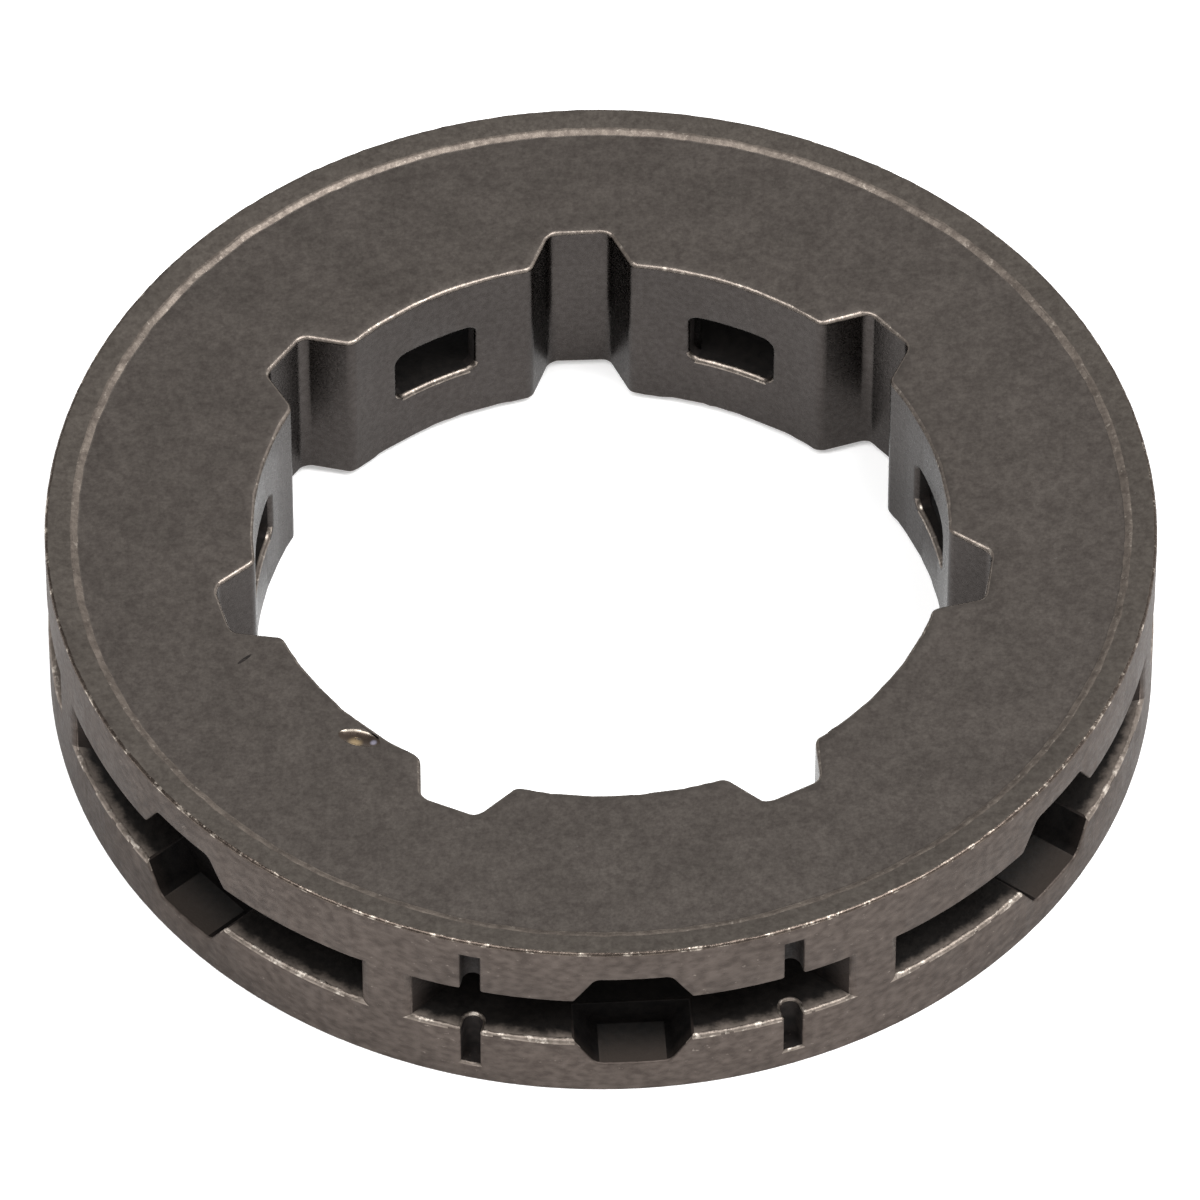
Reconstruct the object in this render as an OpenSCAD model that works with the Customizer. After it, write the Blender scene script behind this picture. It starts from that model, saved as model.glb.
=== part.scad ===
// Rim sprocket of a chainsaw: one sintered steel ring that floats on the splined hub of the clutch drum.
// The axis is Z and the lower lip rests on Z = 0. The slot with the wear notches faces -Y,
// and a spline groove faces +Y.

/* [Ring] */
// Outside diameter of the two chain rails
outer_d = 30.4; // [29.6:0.1:34]
// Thickness over the raised lips
ring_h = 5.8; // [5.4:0.05:7]
// Width of the raised lip round the edge of each face
lip_w = 0.76; // [0.5:0.02:1]
// Height of the lip above the face inside it
lip_h = 0.22; // [0.1:0.01:0.3]
// Width of the sloping step between the face and the lip
lip_step = 0.08; // [0.04:0.02:0.2]
// Break on the outer edge of each lip
edge_break = 0.1; // [0.05:0.01:0.2]

/* [Splined bore] */
// Diameter of the bore between the spline grooves
bore_d = 19; // [18:0.1:19.6]
// Number of spline grooves
spline_n = 7; // [6:1:8]
// Diameter over the flat floors of the grooves
spline_d = 21.4; // [20.8:0.1:22.4]
// Width of a groove at its floor
spline_floor_w = 1.64; // [1.2:0.02:2]
// Width of a groove at the bore
spline_mouth_w = 2.78; // [2.3:0.02:3.2]
// Radius in the floor corners of a groove
spline_floor_r = 0.3; // [0.1:0.02:0.4]
// Radius on the two edges where a groove meets the bore
spline_edge_r = 0.22; // [0.1:0.02:0.4]

/* [Drive link slots] */
// Number of slots, one for each drive link
slot_n = 7; // [6:1:8]
// Height of a slot, the gauge of the drive links and their play
slot_h = 1.7; // [1.3:0.05:2]
// Width of the bridge left between two slots at the rim
bridge_w = 1.34; // [1:0.02:2.2]
// Width of the window that each slot opens in the bore
window_w = 2.5; // [1.8:0.02:3]
// Depth of the window from the bore to the slanting end walls of the slot
window_depth = 0.45; // [0.2:0.05:0.8]
// Corner radius of the window
window_r = 0.28; // [0.1:0.02:0.5]

/* [Chip pockets] */
// Width of the eight-sided pocket in the middle of each slot
pocket_w = 3.2; // [2.6:0.05:4]
// Height of the pocket
pocket_h = 3.56; // [2.8:0.04:4]
// Width of the flat at the top and bottom of the pocket
pocket_flat_w = 2.04; // [1.4:0.02:2.4]
// Height of the flat at each side of the pocket
pocket_flat_h = 1.8; // [1.4:0.02:2.4]
// Corner radius of the pocket
pocket_r = 0.16; // [0.05:0.01:0.3]
// Depth of the pocket from the rim
pocket_depth = 1.4; // [0.8:0.05:2.4]

/* [Wear notches] */
// Width of a notch
notch_w = 0.54; // [0.3:0.02:0.8]
// Height of a notch, centred on the slot
notch_h = 4.55; // [3:0.05:4.8]
// Depth of a notch, the wear at which the ring is replaced
notch_depth = 0.6; // [0.4:0.02:1]
// Angle between a notch and the middle of its slot
notch_angle = 16.7; // [12:0.1:18]

/* [Test dent] */
// Width of each of the two overlapping hardness test dents in the upper face
dent_d = 0.66; // [0.4:0.02:0.7]
// Depth of the dents
dent_depth = 0.14; // [0.06:0.02:0.2]
// Distance between the two dents
dent_gap = 0.5; // [0.2:0.05:0.6]
// Distance of the pair of dents from the axis
dent_r = 10.03; // [10:0.01:13]
// Direction of the pair from the axis, counted from +X
dent_angle = 226; // [205:1:235]
// Direction of the line through the two dents, counted from +X
dent_line = -24; // [-60:1:20]

/* [Hidden] */
$fn = 96;
arc_steps = 5;   // straight steps in a small corner arc
over = 1;        // how far a cut runs past the surface that it opens
bite = 0.01;     // how far a groove's edge arc dips into the bore that it meets
outer_r = outer_d / 2;
bore_r = bore_d / 2;
mid_z = ring_h / 2;
face_z = ring_h - lip_h;
lip_r = outer_r - lip_w;
slot_pitch = 360 / slot_n;
spline_pitch = 360 / spline_n;
bridge_angle = 2 * asin(bridge_w / 2 / outer_r);
mouth_angle = (slot_pitch - bridge_angle) / 2;
mouth_x = outer_r * sin(mouth_angle);
mouth_y = outer_r * cos(mouth_angle);
window_y = sqrt(pow(bore_r, 2) - pow(window_w / 2, 2));
dent_ball_r = (pow(dent_d / 2, 2) + pow(dent_depth, 2)) / (2 * dent_depth);

function unit(v) = v / norm(v);

// Points on the arc round a centre from one direction to another, both unit vectors under 180 degrees apart
function arc(centre, r, from, to) =
    [for (i = [0 : arc_steps]) centre + r * unit(from * (1 - i / arc_steps) + to * i / arc_steps)];

// Arc that rounds the corner b of the outline a, b, c
function corner(a, b, c, r) =
    let (
        u = unit(a - b),
        v = unit(c - b),
        half = acos(u * v) / 2,
        centre = b + unit(u + v) * r / sin(half),
        run = r / tan(half)
    )
    arc(centre, r, unit(b + u * run - centre), unit(b + v * run - centre));

// Closed outline with all its corners rounded
function rounded(points, r) =
    let (n = len(points))
    [for (i = [0 : n - 1]) each corner(points[(i + n - 1) % n], points[i], points[(i + 1) % n], r)];

function mirrored(points) = [for (i = [len(points) - 1 : -1 : 0]) [-points[i].x, points[i].y]];

// Left half of a spline groove along +Y, from inside the bore round its edge and up the flank to the floor
function groove_half() =
    let (
        floor_corner = [-spline_floor_w / 2, spline_d / 2],
        mouth = [-spline_mouth_w / 2, sqrt(pow(bore_r, 2) - pow(spline_mouth_w / 2, 2))],
        flank = unit(mouth - floor_corner),
        outward = [flank.y, -flank.x],
        start = floor_corner + spline_edge_r * outward,
        along = start * flank,
        reach = bore_r + spline_edge_r - bite,
        edge = start - flank * (along + sqrt(pow(along, 2) - start * start + pow(reach, 2))),
        inside = edge * (bore_r - over) / reach
    )
    concat(
        [inside],
        arc(edge, spline_edge_r, -unit(edge), -outward),
        corner(mouth, floor_corner, [0, spline_d / 2], spline_floor_r)
    );

// Ring with its lips, turned from half of its section
module blank() {
    section = [
        [bore_r - over, lip_h],
        [lip_r - lip_step, lip_h],
        [lip_r, 0],
        [outer_r - edge_break, 0],
        [outer_r, edge_break],
        [outer_r, ring_h - edge_break],
        [outer_r - edge_break, ring_h],
        [lip_r, ring_h],
        [lip_r - lip_step, face_z],
        [bore_r - over, face_z]
    ];
    rotate_extrude() polygon(section);
}

module splined_bore() {
    half = groove_half();
    translate([0, 0, -over])
        cylinder(h = ring_h + 2 * over, r = bore_r);
    for (i = [0 : spline_n - 1])
        rotate([0, 0, i * spline_pitch])
            translate([0, 0, -over])
                linear_extrude(ring_h + 2 * over)
                    polygon(concat(half, mirrored(half)));
}

// Prism whose outline stands upright and faces -Y, from one distance from the axis to another
module facing(from, to) {
    translate([0, -from, mid_z])
        rotate([90, 0, 0])
            linear_extrude(to - from)
                children();
}

// Slot with slanting end walls, open at the rim from bridge to bridge
module drive_slot() {
    slot_y = window_y + window_depth;
    plan = [
        [-window_w / 2, -slot_y],
        [-mouth_x, -mouth_y],
        [-mouth_x, -outer_r - over],
        [mouth_x, -outer_r - over],
        [mouth_x, -mouth_y],
        [window_w / 2, -slot_y]
    ];
    translate([0, 0, mid_z - slot_h / 2])
        linear_extrude(slot_h)
            polygon(plan);
}

module window() {
    x = window_w / 2;
    z = slot_h / 2;
    facing(bore_r - over, window_y + window_depth + over)
        polygon(rounded([[-x, -z], [x, -z], [x, z], [-x, z]], window_r));
}

module chip_pocket() {
    x = pocket_w / 2;
    z = pocket_h / 2;
    fx = pocket_flat_w / 2;
    fz = pocket_flat_h / 2;
    outline = [[-x, -fz], [-fx, -z], [fx, -z], [x, -fz], [x, fz], [fx, z], [-fx, z], [-x, fz]];
    facing(outer_r - pocket_depth, outer_r + over)
        polygon(rounded(outline, pocket_r));
}

// Notch with a round inner end, across both rails of a slot
module wear_notch() {
    notch_r = notch_w / 2;
    notch_y = outer_r - notch_depth + notch_r;
    translate([0, 0, mid_z - notch_h / 2]) {
        translate([-notch_r, -outer_r - over, 0])
            cube([notch_w, outer_r + over - notch_y, notch_h]);
        translate([0, -notch_y, 0])
            cylinder(h = notch_h, r = notch_r);
    }
}

module test_dents() {
    translate([dent_r * cos(dent_angle), dent_r * sin(dent_angle), face_z - dent_depth + dent_ball_r])
        rotate([0, 0, dent_line])
            for (side = [-1, 1])
                translate([side * dent_gap / 2, 0, 0])
                    sphere(r = dent_ball_r);
}

module rim_sprocket() {
    color("#5b5650")
        difference() {
            blank();
            splined_bore();
            for (i = [0 : slot_n - 1])
                rotate([0, 0, i * slot_pitch]) {
                    drive_slot();
                    window();
                    chip_pocket();
                }
            for (side = [-1, 1])
                rotate([0, 0, side * notch_angle])
                    wear_notch();
            test_dents();
        }
}

rim_sprocket();
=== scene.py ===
import math

import bmesh
import bpy
from mathutils import Matrix, Vector, noise


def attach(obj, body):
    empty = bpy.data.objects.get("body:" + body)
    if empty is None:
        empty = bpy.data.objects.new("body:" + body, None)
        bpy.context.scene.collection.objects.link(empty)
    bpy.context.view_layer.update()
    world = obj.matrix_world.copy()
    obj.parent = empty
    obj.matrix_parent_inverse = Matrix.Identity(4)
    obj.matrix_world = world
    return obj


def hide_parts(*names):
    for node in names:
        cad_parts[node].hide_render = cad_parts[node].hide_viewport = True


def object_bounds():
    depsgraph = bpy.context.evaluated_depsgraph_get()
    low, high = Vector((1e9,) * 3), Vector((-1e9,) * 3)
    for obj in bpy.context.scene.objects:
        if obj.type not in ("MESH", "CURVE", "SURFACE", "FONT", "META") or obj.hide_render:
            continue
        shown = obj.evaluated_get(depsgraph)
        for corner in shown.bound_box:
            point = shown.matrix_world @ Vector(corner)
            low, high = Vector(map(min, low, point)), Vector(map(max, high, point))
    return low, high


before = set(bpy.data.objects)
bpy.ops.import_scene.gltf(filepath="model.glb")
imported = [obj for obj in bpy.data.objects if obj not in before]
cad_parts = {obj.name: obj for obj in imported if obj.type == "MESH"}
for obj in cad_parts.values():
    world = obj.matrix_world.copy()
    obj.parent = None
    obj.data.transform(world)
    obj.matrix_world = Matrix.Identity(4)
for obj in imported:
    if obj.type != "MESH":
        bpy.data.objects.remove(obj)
cadLow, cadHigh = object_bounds()
print("frame loaded:", sorted(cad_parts))

mm = 0.001  # the ring is shaped in millimetres and scaled to metres once, at the end
cutPast = 1.0  # how far a cutter runs past the surface that it opens
fence = 0.24  # clear metal kept each side of an upright cut, so its edge has room to round
slotCount = 7  # slots, with a spline groove between each two
pitch = 2 * math.pi / slotCount
outerR = (cadHigh.x - cadLow.x) / 2 / mm


def toLinear(hexColour):
    channels = [int(hexColour[i:i + 2], 16) / 255 for i in (1, 3, 5)]
    return [c / 12.92 if c <= 0.04045 else ((c + 0.055) / 1.055) ** 2.4 for c in channels] + [1]


def addNode(tree, kind, settings, links=None):
    node = tree.nodes.new(kind)
    for name, value in settings.items():
        if isinstance(name, int) or name in node.inputs:
            node.inputs[name].default_value = value
        else:
            setattr(node, name, value)
    for name, source in (links or {}).items():
        tree.links.new(source, node.inputs[name])
    return node


oxideTint = "#d6d6d6"  # the oxide dulls what the steel mirrors at a grazing angle


def sinteredSteel(name, look):
    # sintered steel under a dark steam oxide: smudges, grain, and bare steel where the oxide is rubbed off
    material = bpy.data.materials.new(name)
    material.use_nodes = True
    tree = material.node_tree
    shader = tree.nodes["Principled BSDF"]
    shader.inputs["Metallic"].default_value = look["metal"]
    shader.inputs["Specular IOR Level"].default_value = look["shine"]
    shader.inputs["Specular Tint"].default_value = toLinear(oxideTint)
    spot = addNode(tree, "ShaderNodeTexCoord", {}).outputs["Object"]
    squashed = addNode(tree, "ShaderNodeVectorMath", {
        "operation": "MULTIPLY", 1: (1, 1, look["squash"])}, {0: spot})
    place = squashed.outputs[0]

    smudges = addNode(tree, "ShaderNodeTexNoise", {
        "Scale": 1 / (look["smudge"] * mm), "Detail": 3, "Roughness": 0.6}, {"Vector": place})
    shade = addNode(tree, "ShaderNodeMapRange", {"From Min": 0.34, "From Max": 0.66}, {
        "Value": smudges.outputs[0]})
    skin = addNode(tree, "ShaderNodeMix", {
        "data_type": "RGBA", 6: toLinear(look["dark"]), 7: toLinear(look["light"])}, {0: shade.outputs[0]})

    clouds = addNode(tree, "ShaderNodeTexNoise", {
        "Scale": 1 / (look["cloud"] * mm), "Detail": 1}, {"Vector": place})
    depth = addNode(tree, "ShaderNodeMapRange", {
        "From Min": 0.3, "From Max": 0.7,
        "To Min": 1 - look["cloudDepth"], "To Max": 1 + look["cloudDepth"]}, {"Value": clouds.outputs[0]})
    clouded = addNode(tree, "ShaderNodeVectorMath", {"operation": "SCALE"}, {
        0: skin.outputs[2], "Scale": depth.outputs[0]})

    grain = addNode(tree, "ShaderNodeTexNoise", {
        "Scale": 1 / (look["grain"] * mm), "Detail": 2, "Roughness": 0.55}, {"Vector": place})
    rub = addNode(tree, "ShaderNodeTexNoise", {
        "Scale": 1 / (look["rubSize"] * mm), "Detail": 3, "Roughness": 0.65}, {"Vector": place})
    rubbed = addNode(tree, "ShaderNodeMapRange", {
        "From Min": look["rubFrom"], "From Max": look["rubFrom"] + look["rubFade"]}, {
        "Value": rub.outputs[0]})
    colour = addNode(tree, "ShaderNodeMix", {"data_type": "RGBA", 7: toLinear(look["bare"])}, {
        0: rubbed.outputs[0], 6: clouded.outputs[0]})
    if "mouth" in look:  # lighter towards the rim, with a ragged border: painted light at the rim and painted shade deeper in
        plan = addNode(tree, "ShaderNodeVectorMath", {"operation": "MULTIPLY", 1: (1, 1, 0)}, {0: spot})
        reach = addNode(tree, "ShaderNodeVectorMath", {"operation": "LENGTH"}, {0: plan.outputs[0]})
        ragged = addNode(tree, "ShaderNodeMath", {"operation": "MULTIPLY_ADD", 1: look["ragged"] * mm}, {
            0: rub.outputs[0], 2: reach.outputs["Value"]})
        border = outerR + look["ragged"] / 2
        paintedRimLight = addNode(tree, "ShaderNodeMapRange", {
            "interpolation_type": "SMOOTHSTEP", "From Min": (border - look["mouthDepth"]) * mm,
            "From Max": border * mm}, {"Value": ragged.outputs[0]})
        colour = addNode(tree, "ShaderNodeMix", {"data_type": "RGBA", 7: toLinear(look["mouth"])}, {
            0: paintedRimLight.outputs[0], 6: colour.outputs[2]})
    tree.links.new(colour.outputs[2], shader.inputs["Base Color"])

    gloss = addNode(tree, "ShaderNodeMapRange", {
        "From Min": 0.3, "From Max": 0.7, "To Min": look["smooth"], "To Max": look["rough"]}, {
        "Value": grain.outputs[0]})
    tree.links.new(gloss.outputs[0], shader.inputs["Roughness"])
    bump = addNode(tree, "ShaderNodeBump", {"Strength": 1, "Distance": look["height"] * mm}, {
        "Height": grain.outputs[0]})
    tree.links.new(bump.outputs[0], shader.inputs["Normal"])
    return material


# what a finish has unless it says otherwise; squash is how much flatter its smudges lie
plainSteel = {"metal": 1, "shine": 0.5, "squash": 1, "rubFade": 0.12}
finishes = {
    # faces, tumbled: a fine even mottle, satin, with a few light specks
    "tumbledFace": {"dark": "#524c48", "light": "#605a55", "smudge": 0.23, "cloud": 1.4, "cloudDepth": 0.08,
                    "grain": 0.09, "height": 0.0035, "smooth": 0.42, "rough": 0.56,
                    "rubSize": 0.15, "rubFrom": 0.72, "bare": "#7d7873"},
    # rim, as pressed: a coarser and warmer grain that catches the light
    "pressedRim": {"dark": "#433c38", "light": "#58504b", "smudge": 0.28, "cloud": 2.5, "cloudDepth": 0.08,
                   "grain": 0.14, "height": 0.009, "smooth": 0.42, "rough": 0.58,
                   "rubSize": 0.22, "rubFrom": 0.66, "bare": "#7e756e", "squash": 1.5},
    # bore and spline grooves, sized by a pin: darker, even and smooth
    "sizedBore": {"dark": "#383432", "light": "#413d3b", "smudge": 0.17, "cloud": 3, "cloudDepth": 0.05,
                  "grain": 0.09, "height": 0.004, "smooth": 0.24, "rough": 0.33,
                  "rubSize": 0.15, "rubFrom": 0.74, "bare": "#66615d"},
    # windows, notches and the scratch: the dark oxide taken down to near black as painted shade, matt
    "blackPaintedShade": {"dark": "#151211", "light": "#26211f", "smudge": 0.22, "cloud": 2, "cloudDepth": 0.1,
                  "grain": 0.11, "height": 0.012, "smooth": 0.6, "rough": 0.8,
                  "rubSize": 0.2, "rubFrom": 0.64, "bare": "#433d39", "metal": 0, "shine": 0.2},
    # walls of the slots: painted shade, black inside and dark steel where they open at the rim
    "slotWallPaintedShade": {"dark": "#0d0b0a", "light": "#191513", "smudge": 0.22, "cloud": 2, "cloudDepth": 0.1,
                  "grain": 0.11, "height": 0.012, "smooth": 0.6, "rough": 0.8,
                  "rubSize": 0.3, "rubFrom": 0.72, "bare": "#433d39", "metal": 0, "shine": 0.12,
                  "mouth": "#2a2421", "mouthDepth": 0.85, "ragged": 0.3},
    # walls of the pockets: near-black painted shade with next to no shine, a little lighter at the rim
    "pocketWallPaintedShade": {"dark": "#070606", "light": "#0f0d0c", "smudge": 0.22, "cloud": 2, "cloudDepth": 0.1,
                   "grain": 0.11, "height": 0.012, "smooth": 0.6, "rough": 0.8,
                   "rubSize": 0.3, "rubFrom": 0.72, "bare": "#2c2825", "metal": 0, "shine": 0.05,
                   "mouth": "#1c1816", "mouthDepth": 0.5, "ragged": 0.3},
    # floors of the pockets: painted shade, lighter than the walls and lighter still towards the rim, where
    # more light reaches them
    "pocketFloorPaintedShade": {"dark": "#0b0a09", "light": "#161311", "smudge": 0.22, "cloud": 2, "cloudDepth": 0.1,
                     "grain": 0.11, "height": 0.012, "smooth": 0.55, "rough": 0.75,
                     "rubSize": 0.3, "rubFrom": 0.72, "bare": "#433d39", "metal": 0, "shine": 0.15,
                     "mouth": "#332d29", "mouthDepth": 1.35, "ragged": 0.3},
    # floors of the slots: painted shade, near black deep in, and painted light towards the rim, where light
    # falls into the slot
    "slotFloorPaintedLightAndShade": {"dark": "#0f0d0c", "light": "#191614", "smudge": 0.22, "cloud": 2, "cloudDepth": 0.1,
                     "grain": 0.11, "height": 0.012, "smooth": 0.5, "rough": 0.7,
                     "rubSize": 0.36, "rubFrom": 0.72, "bare": "#433d39", "metal": 0, "shine": 0.2,
                     "mouth": "#685f58", "mouthDepth": 0.45, "ragged": 0.5},
    # sills of the slots: rubbed bright and dull in turn by the drive links
    "draggedSill": {"dark": "#665e57", "light": "#857b73", "smudge": 0.2, "cloud": 1.5, "cloudDepth": 0.12,
                    "grain": 0.1, "height": 0.014, "smooth": 0.38, "rough": 0.54,
                    "rubSize": 0.32, "rubFrom": 0.54, "bare": "#b8afa5"},
    # tops of the lips: as the faces, a little lighter from the washers
    "washerLip": {"dark": "#544e49", "light": "#635d57", "smudge": 0.23, "cloud": 1.4, "cloudDepth": 0.08,
                  "grain": 0.09, "height": 0.0035, "smooth": 0.42, "rough": 0.56,
                  "rubSize": 0.15, "rubFrom": 0.72, "bare": "#7d7873"},
    # step of the lip: oxide thinned by the washer, streaked
    "rubbedLip": {"dark": "#5f5751", "light": "#7a7169", "smudge": 0.26, "cloud": 1.2, "cloudDepth": 0.16,
                  "grain": 0.1, "height": 0.008, "smooth": 0.46, "rough": 0.62,
                  "rubSize": 0.22, "rubFrom": 0.6, "bare": "#968d84"},
    # bore edges: rubbed bright by the hub
    "smoothEdge": {"dark": "#6a625c", "light": "#7f766e", "smudge": 0.14, "cloud": 1.5, "cloudDepth": 0.12,
                   "grain": 0.08, "height": 0.006, "smooth": 0.28, "rough": 0.4,
                   "rubSize": 0.2, "rubFrom": 0.56, "bare": "#a79e94"},
    # upper outer edge: rubbed through by the chain in broken stretches
    "chainWornEdge": {"dark": "#463e39", "light": "#5a514a", "smudge": 0.2, "cloud": 1.5, "cloudDepth": 0.12,
                      "grain": 0.1, "height": 0.012, "smooth": 0.22, "rough": 0.36,
                      "rubSize": 0.34, "rubFrom": 0.55, "bare": "#a99f94"},
}
steels = {name: sinteredSteel(name, {**plainSteel, **look}) for name, look in finishes.items()}


def roundPath(points, radii, steps):
    # outline with each corner replaced by an arc; a radius of 0 keeps the corner
    path = []
    for i, point in enumerate(points):
        here = Vector(point)
        radius = radii[i] if isinstance(radii, (list, tuple)) else radii
        if radius == 0:
            path.append(here)
            continue
        before = (Vector(points[i - 1]) - here).normalized()
        after = (Vector(points[(i + 1) % len(points)]) - here).normalized()
        half = before.angle(after) / 2
        centre = here + (before + after).normalized() * radius / math.sin(half)
        first = here + before * radius / math.tan(half) - centre
        last = here + after * radius / math.tan(half) - centre
        for k in range(steps + 1):
            path.append(centre + first.lerp(last, k / steps).normalized() * radius)
    return path


def spread(marks, radius, step):
    # angles between pairs of marks, evenly filled; from one pair to the next nothing is added
    angles = []
    for low, high in zip(marks[0::2], marks[1::2]):
        count = max(1, math.ceil((high - low) * radius / step))
        angles += [low + (high - low) * k / count for k in range(count + 1)]
    return angles


def fencedMarks(features, gap, end):
    marks = [-end, end]
    for angle in features:
        for side in (-1, 1):
            marks += [side * angle - gap, side * angle + gap]
    return sorted(marks)


def wobble(x, y, z, size):
    return noise.noise(Vector((x, y, z)) / size)


ring = {
    "height": (cadHigh.z - cadLow.z) / mm,
    "lipFoot": 0.9,  # from the rim to the foot of the lip
    "lipStep": 0.14,
    "lipH": 0.15,
    "lipRise": 0.07,  # of the lip's top, from its inner edge to the rim
    "lipRub": 0.07,  # width of the rubbed band along that inner edge
    "wander": 0.035,  # of the step, to and fro
    "wanderSize": 0.5,
    "edgeRound": 0.1,  # tumbled outer edges, on top
    "lowRound": 0.035,  # and below
    "lipRound": 0.16,
    "footRound": 0.16,  # hollow where the lip meets the face
    "wearSize": 0.24,  # length of the nicks along the edges
    "wearDepth": 0.3,  # share of the edge round that they take or add
    "columnStep": 0.12,  # spacing of the columns round the rim
    "arcSteps": 5,
}
midZ = ring["height"] / 2
faceZ = ring["height"] - ring["lipH"]
footR = outerR - ring["lipFoot"]
lipR = footR + ring["lipStep"]

dents = {
    "length": 1.2,
    "width": 0.58,
    "slope": 31,  # degrees, of the wall at the rim of the dent
    "radius": 9.96,  # of the dent's middle, from the axis
    "angle": 225.9,  # degrees round the axis, from +X
    "line": -18.5,  # degrees, of its long side
    "smooth": 0.24,
    "rough": 0.34,
    "grain": 0.12,
    "body": "#514740",
    "tintsAndHighlight": {  # middle, then the distances from it at which the colour starts and is full
        "straw": ((-7.06, -7.27), 0.26, 0.06, "#b09a78"),
        "violet": ((-6.58, -7.31), 0.13, 0.05, "#a8a4b4"),
        # painted highlight: the far wall of the dent lightened where the lamps would shine in it
        "paintedHighlight": ((-7.22, -8.06), 1.14, 1.2, "#9f968b"),
    },
}


def dentTintsAndHighlight():
    # steel burnished by a hardness test: dark, with straw and violet tints, and a painted highlight along its
    # far wall
    material = bpy.data.materials.new("dentTintsAndHighlight")
    material.use_nodes = True
    tree = material.node_tree
    shader = tree.nodes["Principled BSDF"]
    shader.inputs["Metallic"].default_value = 1
    place = addNode(tree, "ShaderNodeTexCoord", {}).outputs["Object"]

    colour = addNode(tree, "ShaderNodeRGB", {}).outputs[0]
    colour.default_value = toLinear(dents["body"])
    for (x, y), start, full, tint in dents["tintsAndHighlight"].values():
        away = addNode(tree, "ShaderNodeVectorMath", {
            "operation": "DISTANCE", 1: (x * mm, y * mm, faceZ * mm)}, {0: place})
        inside = addNode(tree, "ShaderNodeMapRange", {
            "interpolation_type": "SMOOTHSTEP", "From Min": start * mm, "From Max": full * mm}, {
            "Value": away.outputs["Value"]})
        colour = addNode(tree, "ShaderNodeMix", {"data_type": "RGBA", 7: toLinear(tint)}, {
            0: inside.outputs[0], 6: colour}).outputs[2]
    tree.links.new(colour, shader.inputs["Base Color"])

    grain = addNode(tree, "ShaderNodeTexNoise", {
        "Scale": 1 / (dents["grain"] * mm), "Detail": 2}, {"Vector": place})
    gloss = addNode(tree, "ShaderNodeMapRange", {
        "From Min": 0.3, "From Max": 0.7, "To Min": dents["smooth"], "To Max": dents["rough"]}, {
        "Value": grain.outputs[0]})
    tree.links.new(gloss.outputs[0], shader.inputs["Roughness"])
    return material


steels["dentTintsAndHighlight"] = dentTintsAndHighlight()
finishIndex = {name: i for i, name in enumerate(steels)}
print("finishes:", list(steels))


slots = {
    "height": 1.7,
    "bridge": 1.34,  # of rim left between two slots
    "windowW": 2.5,
    "windowDepth": 0.45,
    "windowRound": 0.28,
}
slotFloorZ = midZ - slots["height"] / 2
slotHalf = (pitch - 2 * math.asin(slots["bridge"] / 2 / outerR)) / 2  # angle from a slot's middle to its end

pockets = {
    "width": 3.325,
    "height": 3.56,
    "flatW": 2.04,
    "flatH": 1.5,  # less than a slot's height, so the side corners are lost in the slot
    "round": 0.3,  # top and bottom corners
    "depth": 1.4,
}

notches = {
    "width": 0.54,
    "height": 4.55,
    "depth": 0.6,
    "angle": 16.7,  # degrees, either side of the front slot's middle
    "near": 1.6,  # degrees from the notch's middle, in which an edge belongs to it
    "endRound": 0.98,  # share of half its width, at its inner end
}


def rimAngles():
    notchHalf = math.asin(notches["width"] / 2 / outerR)
    notchAngle = math.radians(notches["angle"])
    features = [
        slotHalf,
        math.asin(pockets["width"] / 2 / outerR),
        math.asin(pockets["flatW"] / 2 / outerR),
        notchAngle - notchHalf,
        notchAngle + notchHalf,
    ]
    sector = spread(fencedMarks(features, fence / outerR, pitch / 2), outerR, ring["columnStep"])[:-1]
    return [angle + i * pitch - math.pi / 2 for i in range(slotCount) for angle in sector]


def ringSection(angle):
    x, y = outerR * math.cos(angle), outerR * math.sin(angle)
    wears = [1 + ring["wearDepth"] * wobble(x, y, z, ring["wearSize"]) for z in (0, ring["height"])]
    lowWear, highWear = wears
    run = 2 * ring["footRound"]
    rubs = [ring["lipRub"] * wear for wear in wears]
    slope = ring["lipRise"] / (outerR - lipR)
    foot, edge = [r + ring["wander"] * wobble(x, y, r, ring["wanderSize"]) for r in (footR, lipR)]
    low, high = [[
        (footR - run, ring["lipH"]),
        (foot, ring["lipH"]),
        (edge, ring["lipRise"]),
        (edge + rub, ring["lipRise"] - rub * slope),
        (outerR, 0),
    ] for rub in rubs]
    high = [(r, ring["height"] - z) for r, z in high[::-1]]
    lowRounds = [0, ring["footRound"], ring["lipRound"] * lowWear, 0, ring["lowRound"] * lowWear]
    highRounds = [ring["edgeRound"] * highWear, 0, ring["lipRound"] * highWear, ring["footRound"], 0]
    return roundPath(low + high, lowRounds + highRounds, ring["arcSteps"])


bore = {
    "dia": 19.0,
    "grooveDia": 21.4,
    "floorW": 1.64,
    "mouthW": 2.78,
    "floorRound": 0.36,
    "mouthRound": 0.36,
    "fanShare": 0.9,  # of mouthRound, over which the points of its arc draw together
    "rollW": 0.32,  # gentle roll of the face towards the bore
    "rollH": 0.016,
    "rollSteps": 3,
    "edgeRound": 0.125,
    "wearSize": 0.3,
    "wearDepth": 0.5,
    "fence": 0.45,  # clear wall kept each side of a window's end
    "columnStep": 0.2,
    "arcSteps": 7,
}
boreR = bore["dia"] / 2
windowEnd = math.sqrt(boreR**2 - (slots["windowW"] / 2)**2) + slots["windowDepth"]  # from the axis


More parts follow.
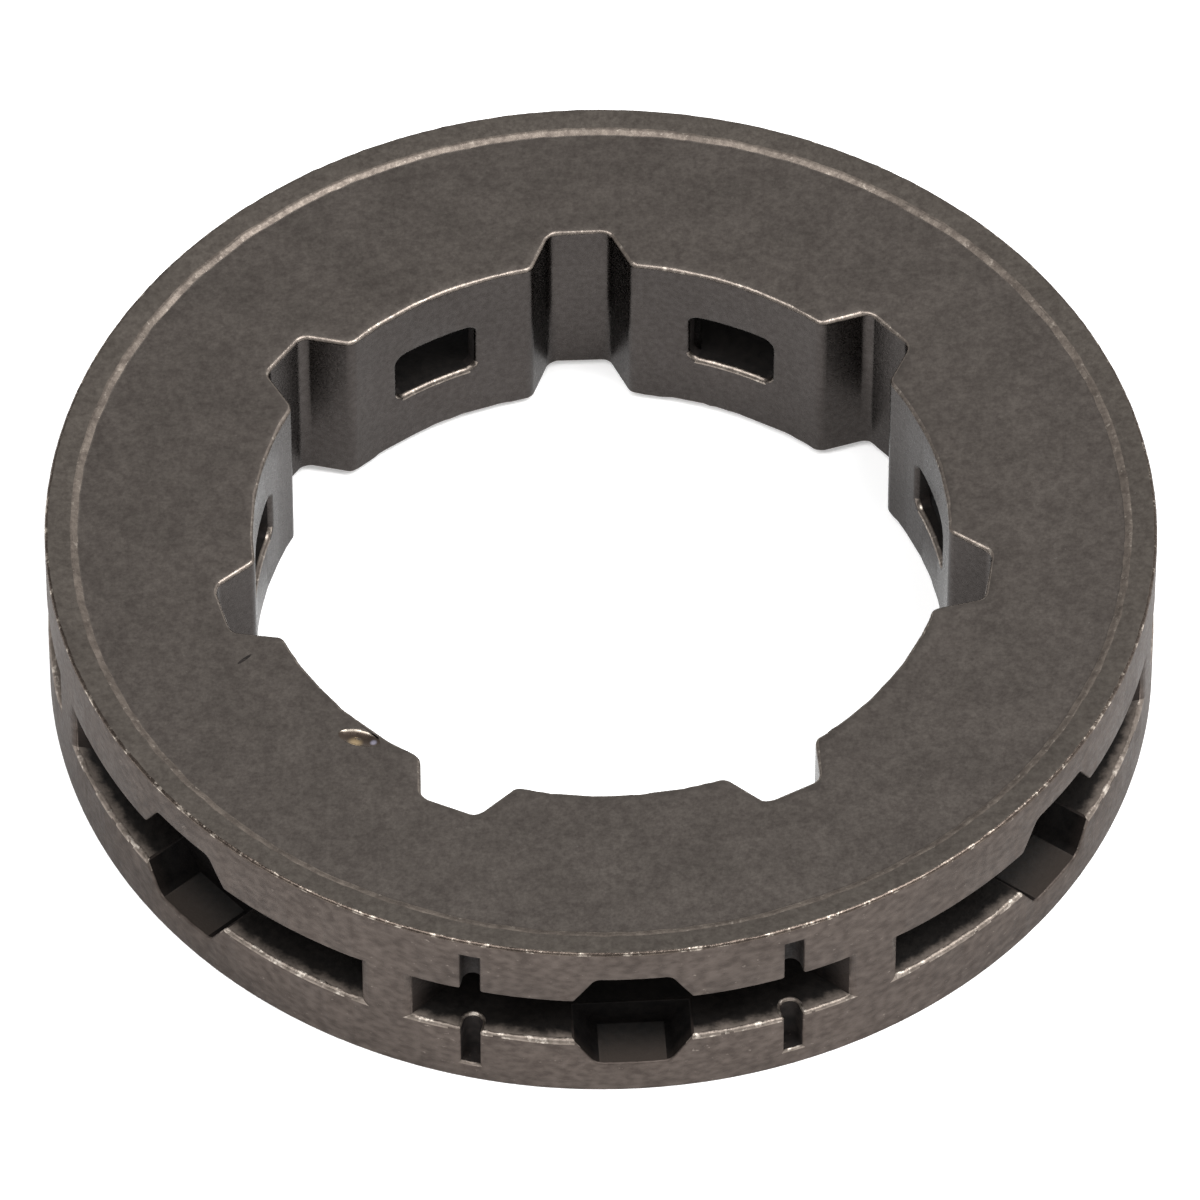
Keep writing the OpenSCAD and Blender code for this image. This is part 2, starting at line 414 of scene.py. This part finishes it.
def grooveHalf():
    # left half of a groove along +Y: points from the bore up to the floor, with the direction into the metal
    floorCorner = Vector((-bore["floorW"] / 2, bore["grooveDia"] / 2))
    mouthX = bore["mouthW"] / 2
    mouth = Vector((-mouthX, math.sqrt(boreR**2 - mouthX**2)))
    flank = (mouth - floorCorner).normalized()
    outward = Vector((flank.y, -flank.x))
    mouthRound, floorRound, steps = bore["mouthRound"], bore["floorRound"], bore["arcSteps"]

    start = floorCorner + mouthRound * outward  # centre of the mouth's arc: on this line, clear of the bore
    along = start.dot(flank)
    reach = boreR + mouthRound
    centre = start - flank * (along + math.sqrt(along**2 - start.length_squared + reach**2))
    bisector = (centre.normalized() + outward).normalized()
    corner = bisector / bisector.dot(outward)
    half = []
    for k in range(steps + 1):
        side = (-centre.normalized()).lerp(-outward, k / steps).normalized()
        half.append((centre + side * mouthRound, -side, corner))

    lean = (-flank).angle(Vector((1, 0)))
    centre = floorCorner + (flank + Vector((1, 0))).normalized() * floorRound / math.sin((math.pi - lean) / 2)
    for k in range(steps + 1):
        side = outward.lerp(Vector((0, 1)), k / steps).normalized()
        half.append((centre + side * floorRound, side, side))
    return half


def intoMetal(point, side, corner, grow):
    # past the centre of a groove edge's arc, its points go on together along the corner
    near = min(grow, bore["fanShare"] * bore["mouthRound"])
    return point + side * near + corner * (grow - near)


def boreOutline():
    left = grooveHalf()
    right = [[Vector((-v.x, v.y)) for v in entry] for entry in left]
    landEnd = pitch / 2 - math.atan2(-left[0][0].x, left[0][0].y)
    window = math.asin(slots["windowW"] / 2 / boreR)
    land = spread(fencedMarks([window], bore["fence"] / boreR, landEnd), boreR, bore["columnStep"])[1:-1]
    outline = []
    for i in range(slotCount):
        turn = Matrix.Rotation(i * pitch, 2)
        outline += [[turn @ v for v in entry] for entry in right + left[::-1]]
        for angle in land:
            side = Vector((-math.sin(angle + (i + 0.5) * pitch), math.cos(angle + (i + 0.5) * pitch)))
            outline.append([side * boreR, side, side])
    return outline


bands = {
    "flatLean": 16,  # degrees, up to which a band of the blank counts as flat
    "wallLean": 78,  # degrees, from which it counts as a wall
    "lipTop": 0.1,  # from the lip's inner edge to where its top starts
    "edgeReach": 0.2,  # from the rim, or from the foot of the lip
}


def bandFinish(low, high, flat, wall):
    rise = high.co - low.co
    lean = math.degrees(math.atan2(abs(rise.z), math.hypot(rise.x, rise.y)))
    reach = (low.co.xy.length + high.co.xy.length) / 2
    if lean < bands["flatLean"] and reach > lipR + bands["lipTop"]:
        return finishIndex["washerLip"]
    if lean < bands["flatLean"] and reach < lipR:
        return finishIndex[flat]
    if lean > bands["wallLean"]:
        return finishIndex[wall]
    if reach > outerR - bands["edgeReach"]:
        return finishIndex["chainWornEdge" if low.co.z > midZ else wall]
    return finishIndex["rubbedLip" if reach > footR - bands["edgeReach"] else "smoothEdge"]


def joinRings(bm, rings, flat, wall):
    for low, high in zip(rings, rings[1:]):
        for k in range(len(low)):
            face = bm.faces.new((low[k - 1], low[k], high[k], high[k - 1]))
            face.material_index = bandFinish(low[k], high[k], flat, wall)


def ringEdges(bm, loop):
    return [bm.edges.get((loop[k - 1], loop[k])) for k in range(len(loop))]


def blankMesh():
    bm = bmesh.new()
    columns = [(angle, ringSection(angle)) for angle in rimAngles()]
    outer = []
    for k in range(len(columns[0][1])):
        outer.append([bm.verts.new((s[k].x * math.cos(a), s[k].x * math.sin(a), s[k].y)) for a, s in columns])
    joinRings(bm, outer, "tumbledFace", "pressedRim")

    steps, rollSteps = ring["arcSteps"], bore["rollSteps"]
    edgeRound, rollW = bore["edgeRound"], bore["rollW"]
    levels = [(rollW + (edgeRound - rollW) * k / rollSteps, bore["rollH"] * (k / rollSteps)**2)
              for k in range(rollSteps + 1)]
    turns = [math.pi / 2 * k / steps for k in range(1, steps + 1)]
    levels += [(edgeRound * (1 - math.sin(t)), bore["rollH"] + edgeRound * (1 - math.cos(t))) for t in turns]
    loops = [(grow, faceZ, -drop) for grow, drop in levels]
    loops += [(grow, ring["lipH"], drop) for grow, drop in levels[::-1]]
    outline = boreOutline()
    inner = []
    for grow, z, drop in loops:
        inner.append([])
        for point, side, corner in outline:
            wear = 1 + bore["wearDepth"] * wobble(point.x, point.y, z, bore["wearSize"])
            inner[-1].append(bm.verts.new((*intoMetal(point, side, corner, grow * wear), z + drop * wear)))
    joinRings(bm, inner, "tumbledFace", "sizedBore")

    for first, second in ((outer[0], inner[-1]), (outer[-1], inner[0])):
        border = ringEdges(bm, first) + ringEdges(bm, second)
        bmesh.ops.triangle_fill(bm, use_beauty=True, edges=border)
    bmesh.ops.recalc_face_normals(bm, faces=bm.faces)
    return bm


def newPiece(name, bm):
    mesh = bpy.data.meshes.new(name)
    bm.to_mesh(mesh)
    bm.free()
    piece = bpy.data.objects.new(name, mesh)
    bpy.context.scene.collection.objects.link(piece)
    return piece


def addPrism(bm, low, high):
    bottom = [bm.verts.new(p) for p in low]
    top = [bm.verts.new(p) for p in high]
    bm.faces.new(bottom)
    bm.faces.new(top)
    for k in range(len(bottom)):
        bm.faces.new((bottom[k - 1], bottom[k], top[k], top[k - 1]))


def cutter(name, prisms, finish):
    bm = bmesh.new()
    for low, high in prisms:
        addPrism(bm, low, high)
    bmesh.ops.recalc_face_normals(bm, faces=bm.faces)
    piece = newPiece(name, bm)
    piece.data.materials.append(steels[finish])
    return piece


def upright(plan, low, high, turn):
    spin = Matrix.Rotation(turn, 3, "Z")
    return [[spin @ Vector((x, y, z)) for x, y in plan] for z in (low, high)]


def facing(outline, near, far, turn):
    # prism that looks along -Y, from one distance from the axis to another
    spin = Matrix.Rotation(turn, 3, "Z")
    return [[spin @ Vector((x, -y, midZ + z)) for x, z in outline] for y in (near, far)]


def slotCutters():
    mouthX, mouthY = outerR * math.sin(slotHalf), outerR * math.cos(slotHalf)
    endX, farY = slots["windowW"] / 2, outerR + cutPast
    half = [(-endX, -windowEnd), (-mouthX, -mouthY), (-mouthX, -farY)]
    plan = half + [(-x, y) for x, y in half[::-1]]
    low, high = slotFloorZ, midZ + slots["height"] / 2
    prisms = [upright(plan, low, high, i * pitch) for i in range(slotCount)]
    return cutter("slotCutters", prisms, "slotWallPaintedShade")


def windowCutters():
    x, z = slots["windowW"] / 2, slots["height"] / 2
    outline = roundPath([(-x, -z), (x, -z), (x, z), (-x, z)], slots["windowRound"], ring["arcSteps"])
    near, far = boreR - cutPast, windowEnd + fence
    prisms = [facing(outline, near, far, i * pitch) for i in range(slotCount)]
    return cutter("windowCutters", prisms, "blackPaintedShade")


def pocketCutters():
    x, z = pockets["width"] / 2, pockets["height"] / 2
    flatX, flatZ = pockets["flatW"] / 2, pockets["flatH"] / 2
    half = [(-x, -flatZ), (-flatX, -z), (flatX, -z), (x, -flatZ)]
    rounds = [0, pockets["round"], pockets["round"], 0]
    outline = roundPath(half + [(-px, -pz) for px, pz in half], rounds * 2, ring["arcSteps"])
    near, far = outerR - pockets["depth"], outerR + cutPast
    prisms = [facing(outline, near, far, i * pitch) for i in range(slotCount)]
    return cutter("pocketCutters", prisms, "pocketWallPaintedShade")


def notchCutters():
    radius = notches["width"] / 2
    endRound = radius * notches["endRound"]
    endY = outerR - notches["depth"]
    farY = outerR + cutPast
    plan = roundPath([(-radius, -endY), (radius, -endY), (radius, -farY), (-radius, -farY)],
                     [endRound, endRound, 0, 0], ring["arcSteps"])
    low, high = midZ - notches["height"] / 2, midZ + notches["height"] / 2
    turns = [math.radians(notches["angle"]) * side for side in (-1, 1)]
    return cutter("notchCutters", [upright(plan, low, high, turn) for turn in turns], "blackPaintedShade")


crease = {  # short dark scratch in the upper face
    "length": 0.5,
    "width": 0.1,
    "slope": 22,  # too gentle for a bevel
    "radius": 10.785,
    "angle": 203,
    "line": 39.3,
}


def dentCutter(name, dent, finish):
    slope = math.radians(dent["slope"])
    tall = dent["width"] / 2 / math.sin(slope)
    angle = math.radians(dent["angle"])
    middle = Vector((math.cos(angle), math.sin(angle), 0)) * dent["radius"]
    lift = Vector((0, 0, faceZ + tall * math.cos(slope)))
    size = Matrix.Diagonal((tall * dent["length"] / dent["width"], tall, tall, 1))
    place = Matrix.Translation(middle + lift) @ Matrix.Rotation(math.radians(dent["line"]), 4, "Z") @ size
    bm = bmesh.new()
    bmesh.ops.create_uvsphere(bm, u_segments=96, v_segments=96, radius=1, matrix=place)
    piece = newPiece(name, bm)
    piece.data.materials.append(steels[finish])
    return piece


def bakeModifiers(piece):
    evaluated = piece.evaluated_get(bpy.context.evaluated_depsgraph_get())
    mesh = bpy.data.meshes.new_from_object(evaluated)
    piece.modifiers.clear()
    piece.data = mesh


def cutAway(piece, cutters):
    for tool in cutters:
        cut = piece.modifiers.new(tool.name, "BOOLEAN")
        cut.operation = "DIFFERENCE"
        cut.solver = "EXACT"
        cut.material_mode = "TRANSFER"
        cut.object = tool
    bakeModifiers(piece)
    for tool in cutters:
        bpy.data.objects.remove(tool)


edges = {
    "widest": 0.2,
    "rim": 0.07,  # upper edges of the slots, and all of the pockets
    "bridge": 0.18,  # upright edges at the ends of the slots
    "sill": 0.12,  # lower edges, where drive links drag
    "window": 0.14,
    "inner": 0.045,
    "notch": 0.08,  # where a notch opens in the floor of its slot
    "dent": 0.02,
    "chewSizes": (0.55, 0.19),  # coarse and fine unevenness of the sills
    "fineChew": 0.6,
    "chewDepth": 0.5,
    "near": 0.05,  # how close to a surface an edge counts as on it
    "wide": 0.3,  # how close to the rim or the bore a rounded edge takes their finish
    "sillReach": 0.2,  # up or down from the slot's floor
    "lookingUp": 0.25,  # least upward share of a normal, for a dragged edge
    "level": 0.001,  # most that a level edge may climb
    "sharp": 24,  # degrees between two faces
    "flat": 0.05,  # degrees, under which two faces are one
    "weld": 0.002,
    "sliver": 0.004,
    "leastShare": 0.01,  # of the widest round
    "segments": 3,
}


def onFace(z, reach):
    return z > faceZ - 2 * edges["near"] and reach < footR


def byNotch(place):
    angle = math.degrees(abs(math.atan2(place.x, -place.y)))
    return abs(angle - notches["angle"]) < notches["near"]


def edgeWidth(edge):
    middle = (edge.verts[0].co + edge.verts[1].co) / 2
    reach = math.hypot(middle.x, middle.y)
    if onFace(middle.z, reach):
        return edges["dent"]
    if reach < boreR + edges["near"]:
        return edges["window"]
    level = abs(edge.verts[0].co.z - edge.verts[1].co.z) < edges["level"]
    if reach < outerR - edges["near"]:
        return edges["notch" if level and byNotch(middle) else "inner"]
    if abs(middle.z - slotFloorZ) < edges["near"] and level:
        coarse, fine = [wobble(*middle, size) for size in edges["chewSizes"]]
        return edges["sill"] * (1 + edges["chewDepth"] * (coarse + edges["fineChew"] * fine))
    if abs(middle.z - midZ) < slots["height"] / 4:
        return edges["bridge"]
    return edges["rim"]


def edgeFinish(face):
    reach = math.hypot(face.center.x, face.center.y)
    if onFace(face.center.z, reach):
        return "tumbledFace"
    upward = face.normal.z > edges["lookingUp"]
    if reach < boreR + edges["wide"]:
        return "smoothEdge" if upward else "sizedBore"
    atRim = reach > outerR - edges["wide"]
    onSill = atRim and abs(face.center.z - slotFloorZ) < edges["sillReach"]
    if upward and (onSill or byNotch(face.center)):
        return "draggedSill"
    return "pressedRim" if atRim else "slotWallPaintedShade"


floors = {
    "lookingUp": 0.9,  # least upward share of a floor's normal
    "near": 0.01,  # furthest from the floor's height
}


def paintFloors(piece, level, finish):
    for face in piece.data.polygons:
        if face.normal.z > floors["lookingUp"] and abs(face.center.z - level) < floors["near"]:
            face.material_index = finishIndex[finish]


def roundEdges(piece):
    bm = bmesh.new()
    bm.from_mesh(piece.data)
    bmesh.ops.remove_doubles(bm, verts=bm.verts, dist=edges["weld"])
    bmesh.ops.dissolve_degenerate(bm, dist=edges["sliver"], edges=bm.edges)
    flat = [e for e in bm.edges if e.is_manifold and e.calc_face_angle() < math.radians(edges["flat"])
            and e.link_faces[0].material_index == e.link_faces[1].material_index]
    bmesh.ops.dissolve_edges(bm, edges=flat, use_verts=False)
    weight = bm.edges.layers.float.new("bevel_weight_edge")
    count = 0
    for edge in bm.edges:
        if not edge.is_manifold or not edge.is_convex:
            continue
        if edge.calc_face_angle() < math.radians(edges["sharp"]):
            continue
        edge[weight] = max(edges["leastShare"], min(1, edgeWidth(edge) / edges["widest"]))
        count += 1
    bm.to_mesh(piece.data)
    bm.free()

    bevelled = len(piece.data.materials)
    piece.data.materials.append(None)
    bevel = piece.modifiers.new("roundEdges", "BEVEL")
    bevel.limit_method = "WEIGHT"
    bevel.width = edges["widest"]
    bevel.segments = edges["segments"]
    bevel.use_clamp_overlap = False
    bevel.material = bevelled
    bakeModifiers(piece)
    for face in piece.data.polygons:
        if face.material_index == bevelled:
            face.material_index = finishIndex[edgeFinish(face)]
    piece.data.materials.pop(index=bevelled)
    print("edges rounded:", count, "faces:", len(piece.data.polygons))


sprocket = newPiece("sprocketRing", blankMesh())
for steel in steels.values():
    sprocket.data.materials.append(steel)
print("blank:", len(sprocket.data.polygons), "faces")
cutAway(sprocket, [
    slotCutters(),
    windowCutters(),
    pocketCutters(),
    notchCutters(),
    dentCutter("dentCutter", dents, "dentTintsAndHighlight"),
    dentCutter("creaseCutter", crease, "blackPaintedShade"),
])
print("cut:", len(sprocket.data.polygons), "faces", [m.name for m in sprocket.data.materials])
# the floors of the slots and pockets take painted light and shade
paintFloors(sprocket, slotFloorZ, "slotFloorPaintedLightAndShade")
paintFloors(sprocket, midZ - pockets["height"] / 2, "pocketFloorPaintedShade")
roundEdges(sprocket)
sprocket.data.transform(Matrix.Scale(mm, 4))
for face in sprocket.data.polygons:
    face.use_smooth = True
normals = sprocket.modifiers.new("flatFaces", "WEIGHTED_NORMAL")
normals.weight = 100
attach(sprocket, "root")
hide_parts("rim_sprocket")

view = {
    "azimuth": -3.3,
    "elevation": 49.827,
    "distance": 423.8,
    "lens": 462.7,
    "target": (-0.026, 0, 2.478),
}


def aim(thing, azimuth, elevation, distance, target):
    a, e = math.radians(azimuth), math.radians(elevation)
    back = Vector((math.sin(a) * math.cos(e), -math.cos(a) * math.cos(e), math.sin(e)))
    thing.location = (Vector(target) + back * distance) * mm
    thing.rotation_mode = "QUATERNION"
    thing.rotation_quaternion = (-back).to_track_quat("-Z", "Y")
    bpy.context.scene.collection.objects.link(thing)


camera = bpy.data.objects.new("camera", bpy.data.cameras.new("camera"))
camera.data.lens = view["lens"]
camera.data.sensor_width = 36
camera.data.clip_start = 0.01
camera.data.clip_end = 10
aim(camera, view["azimuth"], view["elevation"], view["distance"], view["target"])
bpy.context.scene.camera = camera

studio = {
    "floorR": 1500,
    "floorDrop": 0.01,
    "floorColour": "#f4f4f4",
    "floorGlow": 0.35,
    "tent": 1.15,
    "tentSlope": (0.3, 0, -0.7),  # brighter to the right, dimmer overhead
    "boxSize": 340,
    "boxDistance": 600,
    "boxes": {"rightBox": (70, 62, 3.6), "leftBox": (-51, 62, 2.2)},  # azimuth, elevation, watts
}

bm = bmesh.new()
bmesh.ops.create_circle(bm, cap_ends=True, segments=96, radius=studio["floorR"] * mm)
floor = newPiece("floor", bm)
floor.location.z = -studio["floorDrop"] * mm
floorPaint = bpy.data.materials.new("backlitAcrylic")  # white sheet lit from below: next to no shadow
floorPaint.use_nodes = True
floorShader = floorPaint.node_tree.nodes["Principled BSDF"]
floorShader.inputs["Base Color"].default_value = toLinear(studio["floorColour"])
floorShader.inputs["Roughness"].default_value = 0.9
floorShader.inputs["Emission Color"].default_value = (1, 1, 1, 1)
floorShader.inputs["Emission Strength"].default_value = studio["floorGlow"]
floor.data.materials.append(floorPaint)

world = bpy.data.worlds.new("lightTent")
world.use_nodes = True
sky = addNode(world.node_tree, "ShaderNodeTexCoord", {}).outputs["Generated"]
slant = addNode(world.node_tree, "ShaderNodeVectorMath", {
    "operation": "DOT_PRODUCT", 1: studio["tentSlope"]}, {0: sky})
glow = addNode(world.node_tree, "ShaderNodeMath", {"operation": "ADD", 1: studio["tent"]}, {
    0: slant.outputs["Value"]})
tent = world.node_tree.nodes["Background"]
tent.inputs["Color"].default_value = (1, 1, 1, 1)
world.node_tree.links.new(glow.outputs[0], tent.inputs["Strength"])
bpy.context.scene.world = world

for name, (azimuth, elevation, watts) in studio["boxes"].items():
    box = bpy.data.objects.new(name, bpy.data.lights.new(name, "AREA"))
    box.data.size = studio["boxSize"] * mm
    box.data.energy = watts
    aim(box, azimuth, elevation, studio["boxDistance"], (0, 0, midZ))
print("studio:", list(studio["boxes"]))

bpy.context.scene.view_settings.view_transform = "Standard"
